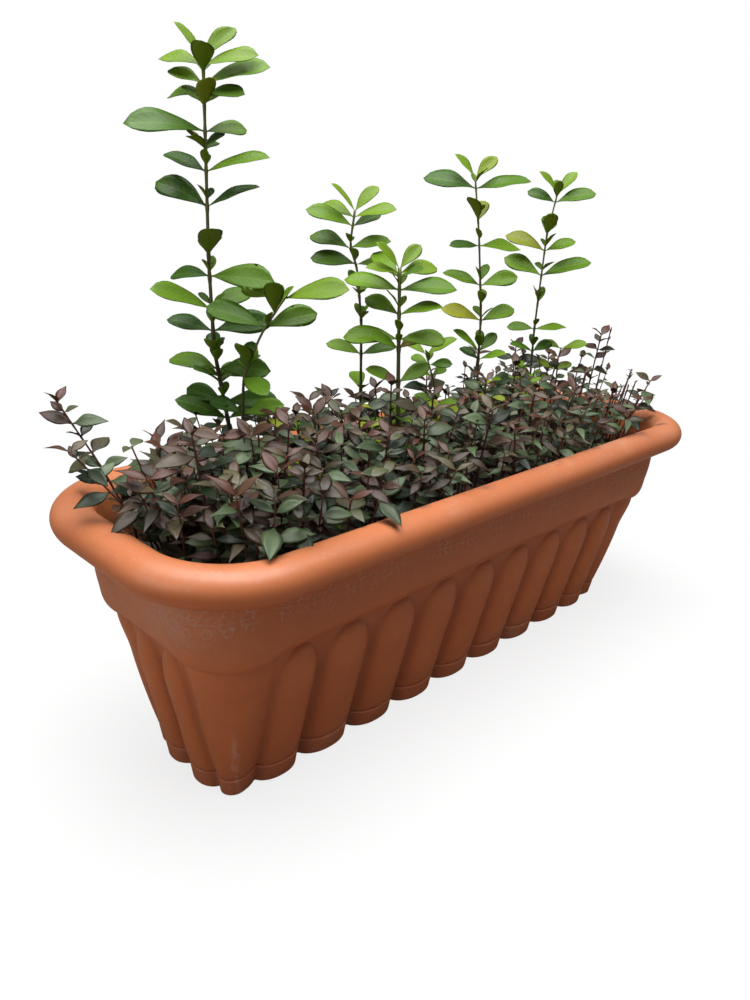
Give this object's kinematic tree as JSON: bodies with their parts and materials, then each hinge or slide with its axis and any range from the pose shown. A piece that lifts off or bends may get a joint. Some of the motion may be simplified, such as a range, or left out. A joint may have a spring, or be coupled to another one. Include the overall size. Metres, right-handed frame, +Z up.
{
  "type": "planted window box",
  "caption": "Long fluted terracotta-coloured trough with a rolled rim and drip tray, filled with soil, upright leafy green shoots and low dark-leaved plants.",
  "frame": {"origin": "middle of the drip tray's flat underside, where the box rests", "axes": "+Z up out of the soil, +X along the box's length, -Y towards the long side seen in the picture"},
  "size_m": [0.8247, 0.29, 0.6526],
  "materials": {
    "planter_plastic": "satin moulded terracotta-coloured plastic, dusty in the band's relief",
    "tray_plastic": "satin moulded terracotta-coloured plastic, a little soiled",
    "soil": "dark crumbly potting mix",
    "green_foliage": "smooth semi-gloss leaves with sunk veins, yellow-green at the tips",
    "dark_foliage": "satin dark green and purple-brown leaves on red-brown stems"
  },
  "bodies": {
    "root": {"dark_sprig_1": "dark_foliage", "dark_sprig_10": "dark_foliage", "dark_sprig_11": "dark_foliage", "dark_sprig_12": "dark_foliage", "dark_sprig_13": "dark_foliage", "dark_sprig_14": "dark_foliage", "dark_sprig_15": "dark_foliage", "dark_sprig_16": "dark_foliage", "dark_sprig_17": "dark_foliage", "dark_sprig_18": "dark_foliage", "dark_sprig_19": "dark_foliage", "dark_sprig_2": "dark_foliage", "dark_sprig_20": "dark_foliage", "dark_sprig_21": "dark_foliage", "dark_sprig_22": "dark_foliage", "dark_sprig_23": "dark_foliage", "dark_sprig_24": "dark_foliage", "dark_sprig_25": "dark_foliage", "dark_sprig_26": "dark_foliage", "dark_sprig_27": "dark_foliage", "dark_sprig_3": "dark_foliage", "dark_sprig_4": "dark_foliage", "dark_sprig_5": "dark_foliage", "dark_sprig_6": "dark_foliage", "dark_sprig_7": "dark_foliage", "dark_sprig_8": "dark_foliage", "drip_tray": "tray_plastic", "green_shoot_centre": "green_foliage", "green_shoot_centre_left": "green_foliage", "green_shoot_leaning_left": "green_foliage", "green_shoot_right": "green_foliage", "green_shoot_right_of_centre": "green_foliage", "green_shoot_small_centre": "green_foliage", "green_shoot_small_right": "green_foliage", "green_shoot_tall_left": "green_foliage", "planter_box": "planter_plastic", "potting_soil": "soil"}
  },
  "joints": []
}
